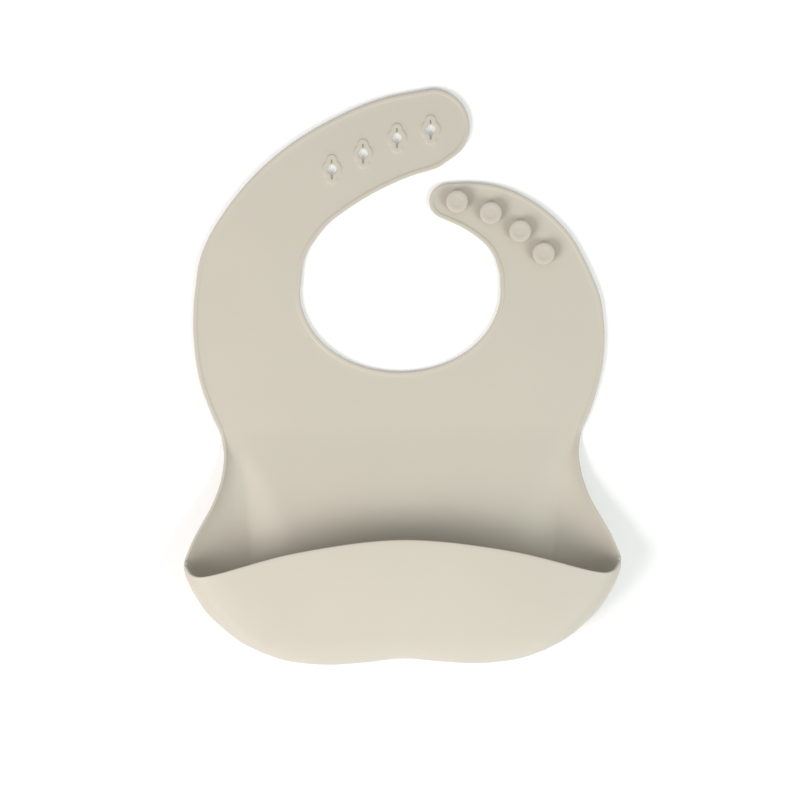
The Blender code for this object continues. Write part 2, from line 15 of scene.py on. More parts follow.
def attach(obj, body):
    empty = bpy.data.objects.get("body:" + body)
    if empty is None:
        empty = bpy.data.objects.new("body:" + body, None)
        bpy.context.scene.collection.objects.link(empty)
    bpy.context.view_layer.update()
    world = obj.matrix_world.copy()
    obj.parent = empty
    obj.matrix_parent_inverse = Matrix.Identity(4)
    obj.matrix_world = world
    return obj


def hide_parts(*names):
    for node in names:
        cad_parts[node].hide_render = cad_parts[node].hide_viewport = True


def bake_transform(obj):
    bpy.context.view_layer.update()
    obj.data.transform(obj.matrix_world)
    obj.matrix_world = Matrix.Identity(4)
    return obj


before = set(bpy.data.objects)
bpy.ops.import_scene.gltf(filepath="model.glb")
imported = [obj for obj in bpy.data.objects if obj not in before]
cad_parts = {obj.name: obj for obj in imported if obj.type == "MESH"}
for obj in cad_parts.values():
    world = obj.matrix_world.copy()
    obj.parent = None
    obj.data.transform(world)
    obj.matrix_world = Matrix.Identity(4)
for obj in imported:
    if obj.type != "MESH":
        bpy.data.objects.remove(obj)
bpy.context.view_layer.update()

MM = 0.001
# Corners closer than this merge, and edges sharper than this many degrees stay crisp
MERGE = 1e-4
CRISP_ANGLE = 50.0

# Sheet and its moulded edge: distance from the edge, height of the back face, height of the front
# face, and what the raised bead adds to the front face
THICK = 1.8
EDGE_D = np.array([0.06, 0.2, 0.45, 0.9, 1.5, 1.95, 2.25, 2.5, 2.8])
EDGE_BACK = np.array([0.4, 0.1, 0.0, 0.0, 0.0, 0.0, 0.0, 0.0, 0.0])
EDGE_FRONT = np.array([1.4, 1.7, 1.8, 1.8, 1.8, 1.8, 1.8, 1.8, 1.8])
BEAD = np.array([0.3, 0.38, 0.43, 0.45, 0.45, 0.4, 0.2, 0.05, 0.0])
BEAD_FULL_Y = -24.0
BEAD_GONE_Y = -44.0
# Spacing of points along an edge and inside a flat area. FILL_MARGIN is the least distance of an inner
# point from an edge, as a share of the spacing
EDGE_SPACING = 1.5
FILL_SPACING = 3.2
COLLAR_SPACING = 1.6
FILL_MARGIN = 0.45

# Outline of the flat sheet: left outer edge upwards, hole strap end, left neck edge, neck, right neck
# edge, stud strap end, right outer edge downwards
CUT_Y = -26.0
SHOULDER_Y = 44.8
LEFT_OUTER = [
    (-96.3, CUT_Y), (-100.2, -17.0), (-104.7, -4.0), (-107.3, 9.0), (-108.5, 24.0), (-108.3, 35.0),
    (-107.5, SHOULDER_Y), (-104.1, 64.0), (-94.8, 82.5), (-77.8, 104.0), (-56.8, 122.0), (-31.4, 136.5),
    (-8.0, 145.6), (18.2, 150.6),
]
HOLE_END = ((18.2, 131.0), 19.6, 90.0, -60.0)
LEFT_INNER = [
    (28.0, 114.0), (20.0, 108.9), (5.0, 104.3), (-13.0, 96.2), (-30.2, 85.6), (-40.5, 76.6),
    (-49.6, 62.5), (-52.3, SHOULDER_Y),
]
NECK = ((0.35, SHOULDER_Y), 52.65, 42.6)
NECK_STEPS = 89
RIGHT_INNER = [(53.0, SHOULDER_Y), (52.2, 55.0), (47.3, 66.5), (35.7, 76.2), (21.5, 83.1)]
STUD_END = ((25.4, 91.5), 9.3, -115.0, -270.0)
RIGHT_OUTER = [
    (25.4, 100.8), (38.5, 101.1), (51.9, 99.2), (65.5, 93.9), (80.0, 83.8), (92.4, 69.4),
    (103.9, SHOULDER_Y), (106.9, 29.0), (107.2, 15.0), (105.2, 0.0), (100.2, -17.0), (96.3, CUT_Y),
]

# Where one sheet of the skin meets the next: a point on the outer edge and one on the neck edge
CUT_LEFT_CHEST = ((-108.4, 20.0), (-49.0, 30.0))
CUT_LEFT_SHOULDER = ((-103.3, 67.0), (-50.3, 60.0))
CUT_LEFT_MIDDLE = ((-67.5, 113.4), (-35.3, 81.2))
CUT_RIGHT_CHEST = ((107.2, 20.0), (49.6, 30.0))
CUT_RIGHT_SHOULDER = ((100.3, 54.6), (52.2, 57.0))

# Keyholes: a round hole with a slit above and below it, each as half its width at the root and at the
# end, with the upper slit first
KEYHOLES = [(-34.8, 109.0), (-18.3, 117.0), (-0.4, 125.0), (17.3, 129.2)]
HOLE_R = 2.5
SLIT_ROOT = (0.5, 0.85)
SLIT_END = (0.3, 0.35)
SLIT_REACH = 5.2
HOLE_STEPS = 20
SLIT_STEPS = 6
# Collars: the offset and radius of each lobe. A profile gives the growth of the loop and its height
COLLAR_LOBES = [(0.0, 4.8), (4.95, 2.6), (-4.7, 2.8)]
COLLAR_DEGREES = 4.0
COLLAR_SOFTENING = 3
COLLAR_HEIGHT = 0.55
COLLAR_SIDE = [(0.75, 0.0), (0.5, 0.06), (0.3, 0.2), (0.15, 0.4), (0.0, 0.5), (-0.25, COLLAR_HEIGHT)]
LIP = [(0.3, COLLAR_HEIGHT), (0.12, COLLAR_HEIGHT - 0.06), (0.0, COLLAR_HEIGHT - 0.22)]
BACK_LIP = [(0.0, 0.22), (0.1, 0.05), (0.22, 0.0)]

# Studs: the first TIP_STUDS are on the strap's tip. The profile gives the radius and the height above the
# strap, from the fillet at the foot to the middle of the head
STUDS = [(30.7, 91.3), (48.3, 85.1), (63.6, 75.4), (75.8, 63.5)]
STUD_PROFILE = [
    (4.2, -0.25), (3.8, 0.02), (3.3, 0.12), (2.85, 0.4), (2.55, 0.9), (2.5, 1.5), (2.6, 2.0), (2.95, 2.4),
    (3.6, 2.62), (4.8, 2.66), (5.4, 2.74), (5.74, 3.0), (5.85, 3.4), (5.85, 4.2), (5.76, 4.66),
    (5.5, 4.98), (5.1, 5.14), (4.6, 5.2), (3.9, 5.2), (3.3, 5.19), (3.0, 5.14), (2.75, 5.06),
    (2.4, 5.02), (1.6, 5.01), (0.8, 5.01),
]
TIP_STUDS = 2
STUD_SIDES = 72
STUD_CROWN = 0.01

# The pocket's outer face, right half. The back sheet's crease and the wing's free edge run downwards
CREASE = [
    (88.3, CUT_Y, 0.0), (88.2, -30.5, 0.0), (87.4, -36.0, 0.0), (85.7, -43.0, 0.0), (83.4, -53.0, 0.0),
    (82.0, -66.0, 0.0), (80.3, -90.0, 0.0), (77.2, -118.0, 0.0), (74.0, -133.0, 0.0),
]
WING_EDGE = [
    (96.3, CUT_Y, 0.0), (94.9, -30.0, 0.3), (93.7, -36.0, 2.2), (93.3, -43.0, 4.6), (95.2, -54.5, 7.6),
    (99.5, -66.0, 10.6), (104.5, -75.0, 12.8), (109.5, -84.0, 14.7), (113.2, -92.5, 16.4),
]
# Bottom fold, the bend above it where the front wall starts, and the rim, from the middle to WALL_HALF.
# FOLD_Z and RIM_Z are the heights at those two places, and FOLD_INSET is where the back sheet ends
WALL_HALF = 74.0
FOLD_Y = [(0.0, -147.8), (20.0, -149.6), (40.0, -150.6), (60.0, -148.5), (WALL_HALF, -143.9)]
FOLD_Z = (14.0, 15.0)
FOLD_INSET = 10.9
FLEX_Y = -137.5
FLEX_Z = 31.0
FLEX_SLOPE = math.radians(12)
RIM_Y = [(0.0, -85.2), (20.0, -86.3), (40.0, -88.9), (60.0, -92.4), (WALL_HALF, -95.8)]
RIM_Z = (38.0, 34.5)
RIM_SLOPE = math.radians(2)
# How far each curve's handles reach, as a share of the distance that it spans
FOLD_PULL = 0.55
BEND_PULL = 0.5
WALL_PULL = 0.33
# The back sheet's lower end, fold, bend and rim again, round the side of the pocket to the wing's tip
SIDE_LOW = [
    (WALL_HALF, -133.0, 0.0), (82.5, -127.5, 1.2), (92.0, -118.0, 3.2), (99.5, -110.0, 5.8),
    (105.5, -103.4, 8.8), (110.2, -97.6, 12.4), (113.2, -92.5, 16.4),
]
SIDE_FOLD = [
    (WALL_HALF, -143.9, 15.0), (86.4, -137.2, 15.6), (100.5, -124.8, 17.0), (106.8, -116.3, 18.0),
    (111.4, -108.0, 18.9), (113.9, -101.0, 19.2), (114.1, -95.4, 18.6),
]
SIDE_FLEX = [
    (WALL_HALF, FLEX_Y, FLEX_Z), (84.5, -131.5, 31.0), (94.5, -121.5, 30.4), (102.5, -112.8, 28.9),
    (108.6, -107.0, 26.6), (112.2, -103.4, 24.2), (113.7, -100.3, 21.9), (113.9, -97.4, 20.6),
]
SIDE_RIM = [
    (WALL_HALF, -95.8, 34.5), (84.0, -98.6, 33.4), (94.0, -101.4, 31.9), (102.5, -103.3, 30.0),
    (107.2, -103.6, 28.3), (110.8, -102.3, 26.1), (112.9, -99.5, 23.2),
]
# The back sheet bows up off the table between the creases. It climbs beside each crease over a ramp
# that widens downwards
BACK_BOW = 4.6
BOW_START_Y = -28.0
BOW_LENGTH = 62.0
BOW_POWER = 0.7
BOW_END_Y = -130.0
BOW_FADE = 24.0
RAMP_START_Y = -45.0
RAMP_NARROW = 11.0
RAMP_WIDENING = 0.37
TIP_THICK = 1.2
# The pocket's grid. The rim has the first RIM_RINGS rings of the edge, over at most RIM_SHARE of the wall
MIDDLE_COLUMNS = 36
SIDE_COLUMNS = 30
SIDE_GRADING = 1.35
BACK_ROWS = 52
FOLD_ROWS = 9
WALL_ROWS = 26
RIM_RINGS = 3
RIM_SHARE = 0.5
CREASE_SOFTENING = 3

# Silicone: colour, the studs' share of it, and the scale and detail of each noise. GRAIN_DEPTH in metres
SILICONE = (0.563, 0.524, 0.442)
STUD_SHADE = 0.98
SILICONE_IOR = 1.41
SHEEN = 0.12
SHEEN_ROUGHNESS = 0.6
MOTTLE = (26.0, 4.0)
MOTTLE_SHADES = (0.975, 1.025)
GLOSS = (60.0, 3.0)
GLOSS_NOISE = (0.3, 0.7)
GLOSS_ROUGHNESS = (0.46, 0.56)
GRAIN = (2600.0, 2.0)
GRAIN_STRENGTH = 0.12
GRAIN_DEPTH = 0.00006

# Studio, in metres and watts. The left softbox is slightly pink and the right one slightly green
TABLE_HALF = 3.0
TABLE_DROP = 0.0002
TABLE_WHITE = 0.9
TABLE_ROUGHNESS = 0.9
TABLE_SPECULAR = 0.1
TABLE_GLOW = 0.1
SOFTBOX_SIDE = 0.6
SOFTBOX_X = 0.8
SOFTBOX_Y = -0.51
SOFTBOX_Z = 0.89
LEFT_POWER = 10.2
LEFT_COLOUR = (1.0, 0.955, 0.95)
RIGHT_POWER = 6.6
RIGHT_COLOUR = (0.92, 1.0, 0.98)
SKY_STRENGTH = 0.52
LENS = 300.0
SENSOR_WIDTH = 36.0
FRAME_WIDTH = 0.420
CAMERA_X = -0.0004
CAMERA_Y = -0.0125
CAMERA_ROLL = math.radians(-0.65)
CAMERA_FAR = 10.0


# Curves ------------------------------------------------------------------------------------------


def smooth(points, steps=16):
    """Close points on the smooth curve through the given ones."""
    p = np.array(points, float)
    p = np.vstack([2 * p[0] - p[1], p, 2 * p[-1] - p[-2]])
    t = np.linspace(0, 1, steps, endpoint=False)[:, None]
    parts = []
    for a, b, c, d in zip(p, p[1:], p[2:], p[3:]):
        parts.append(
            0.5 * (2 * b + (c - a) * t + (2 * a - 5 * b + 4 * c - d) * t**2 + (3 * b - a - 3 * c + d) * t**3)
        )
    return np.vstack([*parts, p[-2:-1]])


def arc(centre, radius, first, last, steps=40):
    """Points on an arc, angles in degrees, ends included."""
    a = np.radians(np.linspace(first, last, steps + 1))
    return np.array(centre) + radius * np.stack([np.cos(a), np.sin(a)], axis=1)


def lengths(line):
    return np.concatenate([[0], np.cumsum(np.linalg.norm(np.diff(line, axis=0), axis=1))])


def at_share(line, share):
    """Points at shares of a line's length. share may be an array of any shape."""
    run = lengths(line)
    return np.stack([np.interp(np.asarray(share) * run[-1], run, axis) for axis in line.T], axis=-1)


def second_at(line, x):
    """The second coordinate of a line where its first is x. The first coordinate grows along it."""
    return np.interp(x, line[:, 0], line[:, 1])


def bezier(start, start_pull, end, end_pull, share):
    """Points on the cubic curve that leaves start along start_pull and reaches end along end_pull."""
    s = 1 - share
    a, b = start + start_pull, end - end_pull
    return s**3 * start + 3 * s * s * share * a + 3 * s * share**2 * b + share**3 * end


def ease(value):
    t = np.clip(value, 0, 1)
    return t * t * (3 - 2 * t)


def unit(vectors):
    return vectors / np.maximum(np.linalg.norm(vectors, axis=-1, keepdims=True), 1e-9)


# Mesh building -----------------------------------------------------------------------------------


class Skin:
    """Collects faces given by their corner points and merges corners that coincide."""

    def __init__(self):
        self.points, self.index, self.faces = [], {}, []

    def corner(self, point):
        key = tuple(np.round(np.asarray(point, float) / MERGE).astype(int))
        if key not in self.index:
            self.index[key] = len(self.points)
            self.points.append(tuple(float(v) for v in point))
        return self.index[key]

    def face(self, *points):
        ids = []
        for point in points:
            i = self.corner(point)
            if not ids or (i != ids[-1] and i != ids[0]):
                ids.append(i)
        if len(set(ids)) > 2:
            self.faces.append(ids)

    def grid(self, rows, flip=False):
        """Quads between rows of points."""
        for low, high in zip(rows, rows[1:]):
            for i in range(len(low) - 1):
                quad = (low[i], low[i + 1], high[i + 1], high[i])
                self.face(*(quad[::-1] if flip else quad))

    def make(self, name):
        mesh = bpy.data.meshes.new(name)
        mesh.from_pydata([[v * MM for v in p] for p in self.points], [], self.faces)
        mesh.validate()
        mesh.shade_smooth()
        mesh.set_sharp_from_angle(angle=math.radians(CRISP_ANGLE))
        made = bpy.data.objects.new(name, mesh)
        bpy.context.scene.collection.objects.link(made)
        return made


def inside(points, loop):
    """Which points lie inside a closed loop."""
    x, y = points[:, 0], points[:, 1]
    result = np.zeros(len(points), bool)
    for (x1, y1), (x2, y2) in zip(loop, np.roll(loop, -1, axis=0)):
        crosses = (y1 > y) != (y2 > y)
        edge_x = x1 + (y - y1) * (x2 - x1) / (y2 - y1 if abs(y2 - y1) > 1e-12 else 1e-12)
        result ^= crosses & (x < edge_x)
    return result


def clearance(points, loop):
    """Each point's distance to a closed loop."""
    nearest = np.full(len(points), 1e9)
    for a, b in zip(loop, np.roll(loop, -1, axis=0)):
        step = b - a
        t = np.clip((points - a) @ step / max(step @ step, 1e-12), 0, 1)
        nearest = np.minimum(nearest, np.linalg.norm(points - a - t[:, None] * step, axis=1))
    return nearest


def fill(loop, holes=(), spacing=FILL_SPACING):
    """Triangles of the flat area inside loop and outside the holes, as corner points, anticlockwise."""
    loops = [np.asarray(loop)] + [np.asarray(h) for h in holes]
    low, high = loops[0].min(0), loops[0].max(0)
    rise = spacing * math.sqrt(3) / 2
    lattice = []
    for row, y in enumerate(np.arange(low[1] + rise / 2, high[1], rise)):
        start = low[0] + (spacing / 2 if row % 2 else 0)
        lattice += [(x, y) for x in np.arange(start, high[0], spacing)]
    lattice = np.array(lattice).reshape(-1, 2)
    keep = inside(lattice, loops[0])
    for hole in loops[1:]:
        keep &= ~inside(lattice, hole)
    lattice = lattice[keep]
    for edge in loops:
        lattice = lattice[clearance(lattice, edge) > FILL_MARGIN * spacing]
    points, edges = [], []
    for edge in loops:
        first = len(points)
        points += [tuple(p) for p in edge]
        edges += [(first + i, first + (i + 1) % len(edge)) for i in range(len(edge))]
    points += [tuple(p) for p in lattice]
    found = delaunay_2d_cdt([Vector(p) for p in points], edges, [], 0, 1e-5)
    corners = [points[origin[0]] if origin else tuple(v) for v, origin in zip(found[0], found[3])]
    triangles = np.array([[corners[i] for i in f] for f in found[2]])
    centres = triangles.mean(1)
    keep = inside(centres, loops[0])
    for hole in loops[1:]:
        keep &= ~inside(centres, hole)
    triangles = triangles[keep]
    a, b = triangles[:, 1] - triangles[:, 0], triangles[:, 2] - triangles[:, 0]
    backwards = a[:, 0] * b[:, 1] - a[:, 1] * b[:, 0] < 0
    triangles[backwards] = triangles[backwards][:, ::-1]
    return triangles


# Flat sheets -------------------------------------------------------------------------------------


def whole_outline():
    """The flat sheet's edge from the left waist round both straps to the right waist, sheet on its right."""
    centre, half_width, depth = NECK
    angles = np.radians(np.linspace(180, 360, NECK_STEPS + 1)[1:-1])
    neck = np.array(centre) + np.stack([half_width * np.cos(angles), depth * np.sin(angles)], axis=1)
    return np.vstack([
        smooth(LEFT_OUTER)[:-1], arc(*HOLE_END)[:-1], smooth(LEFT_INNER), neck,
        smooth(RIGHT_INNER)[:-1], arc(*STUD_END)[:-1], smooth(RIGHT_OUTER),
    ])


OUTLINE = whole_outline()


def place_of(point):
    """The outline's place nearest to a point."""
    return int(np.argmin(np.linalg.norm(OUTLINE - np.array(point), axis=1)))


def bead_share(y):
    """1 where the bead is full, 0 below the waist where it has died out."""
    return ease((np.asarray(y) - BEAD_GONE_Y) / (BEAD_FULL_Y - BEAD_GONE_Y))


def inward(line, first_way, last_way):
    """Each point's direction into the sheet per millimetre from the edge. The ends follow the cuts."""
    along = unit(np.gradient(line, axis=0))
    way = np.stack([along[:, 1], -along[:, 0]], axis=1)
    for i, cut in ((0, first_way), (-1, last_way)):
        if cut is not None:
            cut = unit(np.array(cut, float))
            way[i] = cut / (cut @ way[i])
    return way


class Edge:
    """One stretch of the outline, with the rings of points that follow it inside the sheet."""

    def __init__(self, first, last):
        line = OUTLINE[first : last + 1]
        count = max(4, int(round(lengths(line)[-1] / EDGE_SPACING)))
        self.line = at_share(line, np.linspace(0, 1, count + 1))

    def set_ways(self, first_way, last_way):
        self.way = inward(self.line, first_way, last_way)
        self.share = bead_share(self.line[:, 1])

    def ring(self, k):
        return self.line + self.way * EDGE_D[k]

    def heights(self, k, front):
        if front:
            return EDGE_FRONT[k] + BEAD[k] * self.share
        return np.full(len(self.line), EDGE_BACK[k])


def with_z(points, z):
    points = np.asarray(points)
    return np.column_stack([points, np.broadcast_to(z, len(points))])


def flat_sheet(stretches, front_holes=(), back_holes=()):
    """A closed flat sheet whose moulded edges are stretches of the outline, joined by straight cuts.

    Holes are loops of points cut out of the front face's and the back face's flat area.
    """
    edges = [Edge(first, last) for first, last in stretches]
    for i, edge in enumerate(edges):
        before, after = edges[i - 1], edges[(i + 1) % len(edges)]
        edge.set_ways(before.line[-1] - edge.line[0], after.line[0] - edge.line[-1])
    skin = Skin()
    last_ring = len(EDGE_D) - 1
    loop = []
    for i, edge in enumerate(edges):
        middle = with_z(edge.line, THICK / 2)
        for front in (True, False):
            rows = [middle]
            rows += [with_z(edge.ring(k), edge.heights(k, front)) for k in range(last_ring + 1)]
            skin.grid(rows, flip=front)
        loop += list(edge.ring(last_ring))
        loop += cut_points(edge, edges[(i + 1) % len(edges)])
        cap(skin, edge, edges[(i + 1) % len(edges)])
    loop = np.array(loop)
    for triangle in fill(loop, front_holes):
        skin.face(*with_z(triangle, THICK))
    for triangle in fill(loop, back_holes):
        skin.face(*with_z(triangle, 0.0)[::-1])
    return skin


def cut_points(edge, after):
    """Points along a cut between the last rings of two stretches, ends left out."""
    a, b = edge.ring(-1)[-1], after.ring(-1)[0]
    count = max(2, int(round(np.linalg.norm(b - a) / FILL_SPACING)))
    return [a + (b - a) * i / count for i in range(1, count)]


def cap(skin, edge, after):
    """The upright face that closes a sheet at a cut."""
    front, back = [], []
    for k in range(len(EDGE_D)):
        front.append((*edge.ring(k)[-1], edge.heights(k, True)[-1]))
        back.append((*edge.ring(k)[-1], edge.heights(k, False)[-1]))
    for point in cut_points(edge, after):
        front.append((*point, THICK))
        back.append((*point, 0.0))
    for k in reversed(range(len(EDGE_D))):
        front.append((*after.ring(k)[0], after.heights(k, True)[0]))
        back.append((*after.ring(k)[0], after.heights(k, False)[0]))
    skin.face((*edge.line[-1], THICK / 2), front[0], back[0])
    skin.grid([front, back])
    skin.face((*after.line[0], THICK / 2), back[-1], front[-1])


def collar_loop(grow):
    """A collar's outline round its hole, grown outwards by a distance."""
    angles = np.radians(np.arange(0, 360, COLLAR_DEGREES))
    reach = np.zeros(len(angles))
    for offset, radius in COLLAR_LOBES:
        beside = offset * np.cos(angles)
        hit = np.abs(beside) < radius
        far = offset * np.sin(angles) + np.sqrt(np.maximum(radius**2 - beside**2, 0))
        reach = np.where(hit, np.maximum(reach, far), reach)
    for _ in range(COLLAR_SOFTENING):
        reach = (np.roll(reach, 1) + 2 * reach + np.roll(reach, -1)) / 4
    loop = np.stack([reach * np.cos(angles), reach * np.sin(angles)], axis=1)
    return loop + ring_normals(loop) * grow


def ring_normals(loop):
    """Outward directions of an anticlockwise loop."""
    along = unit(np.roll(loop, -1, axis=0) - np.roll(loop, 1, axis=0))
    return np.stack([along[:, 1], -along[:, 0]], axis=1)


def keyhole_loop(grow):
    """The outline of the round hole with its two tapering slits, grown outwards by a distance."""
    halves = []
    for root, tip in zip(SLIT_ROOT, SLIT_END):
        other = SLIT_ROOT[1] if root == SLIT_ROOT[0] else SLIT_ROOT[0]
        first = -math.degrees(math.acos(other / HOLE_R))
        last = math.degrees(math.acos(root / HOLE_R))
        hole = arc((0, 0), HOLE_R, first, last, HOLE_STEPS)
        end = arc((0, SLIT_REACH - tip), tip, 0, 180, SLIT_STEPS)
        foot = math.sqrt(HOLE_R**2 - root**2)
        share = np.linspace(0, 1, SLIT_STEPS)[1:-1]
        side = np.stack([root + (tip - root) * share, foot + (SLIT_REACH - tip - foot) * share], axis=1)
        halves.append(np.vstack([hole, side, end, side[::-1] * (-1, 1)]))
    loop = np.vstack([halves[0], -halves[1]])
    return loop + ring_normals(loop) * grow


def add_keyhole(skin, centre):
    """Collar, rounded lip, wall and back lip of one keyhole."""
    centre = np.array(centre)
    rings = [with_z(centre + collar_loop(grow), THICK + z) for grow, z in COLLAR_SIDE]
    closed = [np.vstack([ring, ring[:1]]) for ring in rings]
    skin.grid(closed)
    lips = [with_z(centre + keyhole_loop(grow), THICK + z) for grow, z in LIP]
    lips += [with_z(centre + keyhole_loop(grow), z) for grow, z in BACK_LIP]
    skin.grid([np.vstack([ring, ring[:1]]) for ring in lips])
    for triangle in fill(rings[-1][:, :2], [lips[0][:, :2]], spacing=COLLAR_SPACING):
        skin.face(*with_z(triangle, THICK + COLLAR_HEIGHT))


# Pocket ------------------------------------------------------------------------------------------


def patch(side_a, side_b, near, far, across, down):
    """Points of the surface between four edges. across runs from side_a to side_b, down from near to far."""
    s, t = across[..., None], down[..., None]
    ruled = (1 - s) * side_a + s * side_b + (1 - t) * near(across) + t * far(across)
    zero, one = np.zeros_like(across), np.ones_like(across)
    top = (1 - s) * near(zero) + s * near(one)
    bottom = (1 - s) * far(zero) + s * far(one)
    return ruled - (1 - t) * top - t * bottom


def across_middle(points, x):
    """y of a left-right symmetric curve, given for its right half."""
    left = [(-a, b) for a, b in points[:0:-1]]
    return second_at(smooth(left + points), x)


def low_middle(across):
    """The back sheet's lower end between the creases, where the bottom fold begins."""
    x = WALL_HALF * across
    y = across_middle(FOLD_Y, x) + FOLD_INSET
    return np.stack([x, y, np.zeros_like(x)], axis=-1)


def middle_back(across, down):
    """Back sheet between the creases, with the bow that lifts it off the table."""
    crease = smooth(CREASE)
    side = at_share(crease, down)
    axis_low = low_middle(np.zeros(1))[0]
    axis = np.stack([0 * down, CUT_Y + down * (axis_low[1] - CUT_Y), 0 * down], axis=-1)
    top = np.array(CREASE[0])
    points = patch(
        axis,
        side,
        lambda s: np.stack([top[0] * s, top[1] + 0 * s, 0 * s], axis=-1),
        low_middle,
        across,
        down,
    )
    from_crease = (1 - across) * side[..., 0]
    y = points[..., 1]
    ramp = RAMP_NARROW + RAMP_WIDENING * np.maximum(RAMP_START_Y - y, 0)
    rise = ease((BOW_START_Y - y) / BOW_LENGTH) ** BOW_POWER * ease((y - BOW_END_Y) / BOW_FADE)
    points[..., 2] += BACK_BOW * rise * ease(from_crease / ramp)
    return points


def side_back(across, down):
    """A wing, from the crease to its free edge."""
    top, edge_top = np.array(CREASE[0]), np.array(WING_EDGE[0])
    low = smooth(SIDE_LOW)
    return patch(
        at_share(smooth(CREASE), down),
        at_share(smooth(WING_EDGE), down),
        lambda s: (1 - s[..., None]) * top + s[..., None] * edge_top,
        lambda s: at_share(low, s),
        across,
        down,
    )


def side_shares(down):
    """Across-shares of the wing's columns in each row, closer towards its edge."""
    edge = at_share(smooth(WING_EDGE), down)
    run = unit(np.gradient(edge, axis=0))
    width_way = edge - at_share(smooth(CREASE), down)
    width = np.linalg.norm(np.cross(run, width_way), axis=-1)
    rings = np.append(EDGE_D[::-1], 0.0)
    near_edge = 1 - rings[None, :] / width[:, None]
    graded = 1 - (1 - np.linspace(0, 1, SIDE_COLUMNS + 1)[None, 1:-1]) ** SIDE_GRADING
    return np.hstack([graded * near_edge[:, :1], near_edge])


def pocket_columns(across, down, is_side):
    """The outer face's rows: back sheet, bottom fold and front wall up to the rim, for many columns.

    Towards a wing's tip the wall's curves straighten into the line from the bend to the rim.
    """
    last = across[-1]
    if is_side:
        back = side_back(across, down)
        fold, flex, rim = (at_share(smooth(c), last) for c in (SIDE_FOLD, SIDE_FLEX, SIDE_RIM))
        flatter = 1 - last
    else:
        back = middle_back(across, down)
        x = WALL_HALF * last
        fold = np.stack([x, across_middle(FOLD_Y, x), FOLD_Z[0] + (FOLD_Z[1] - FOLD_Z[0]) * last**2], -1)
        flex = np.stack([x, FLEX_Y + 0 * x, FLEX_Z + 0 * x], -1)
        rim = np.stack([x, across_middle(RIM_Y, x), RIM_Z[0] + (RIM_Z[1] - RIM_Z[0]) * last**2], -1)
        flatter = 1 + 0 * last
    low = back[-1]
    up = np.array([0.0, 0.0, 1.0])
    lean = unit((rim - flex) * (1, 1, 0))
    chord = unit(rim - flex) * (1 - flatter)[:, None]
    at_flex = unit((lean * np.cos(FLEX_SLOPE) + up * np.sin(FLEX_SLOPE)) * flatter[:, None] + chord)
    at_rim = unit((lean * np.cos(RIM_SLOPE) + up * np.sin(RIM_SLOPE)) * flatter[:, None] + chord)
    outward = unit(back[-1] - back[-2])
    below = np.linalg.norm((fold - low)[:, :2], axis=1)[:, None]
    above = np.linalg.norm((flex - fold)[:, :2], axis=1)[:, None]
    rows = list(back)
    steps = np.linspace(0, 1, FOLD_ROWS + 1)[1:]
    from_low, to_fold = outward * FOLD_PULL * below, up * FOLD_PULL * (fold - low)[:, 2:]
    for t in steps:
        rows.append(bezier(low, from_low, fold, to_fold, t))
    from_fold, to_flex = up * FOLD_PULL * (flex - fold)[:, 2:], at_flex * BEND_PULL * above
    for t in steps:
        rows.append(bezier(fold, from_fold, flex, to_flex, t))
    span = np.linalg.norm(rim - flex, axis=1)[:, None]
    rings = np.append(EDGE_D[RIM_RINGS - 1 :: -1], 0.0)
    from_flex, to_rim = at_flex * span * WALL_PULL, at_rim * span * WALL_PULL
    start = 1 - np.minimum(rings[0] / span, RIM_SHARE)
    for t in np.linspace(0, 1, WALL_ROWS + 1)[1:-1]:
        rows.append(bezier(flex, from_flex, rim, to_rim, t * start))
    for ring in rings:
        t = 1 - np.minimum(ring / span, RIM_SHARE * ring / rings[0])
        rows.append(bezier(flex, from_flex, rim, to_rim, t))
    return np.array(rows)


def blurred(field, times):
    """A field of vectors softened across the columns."""
    for _ in range(times):
        inner = (field[:, :-2] + 2 * field[:, 1:-1] + field[:, 2:]) / 4
        field = np.concatenate([field[:, :1], inner, field[:, -1:]], axis=1)
    return unit(field)


def steadied(normal):
    """The normals with those beside the pocket's free edge taken from a little further in.

    Round the wings' tips the grid's two directions run nearly together, and its own normals waver.
    """
    rings = len(EDGE_D) + 1
    held = normal.copy()
    held[:, :rings] = normal[:, rings : rings + 1]
    held[:, -rings:] = normal[:, -rings - 1 : -rings]
    row = np.arange(len(normal)) - BACK_ROWS
    share = ease(row / (2 * FOLD_ROWS))[:, None, None]
    return unit(normal * (1 - share) + held * share)


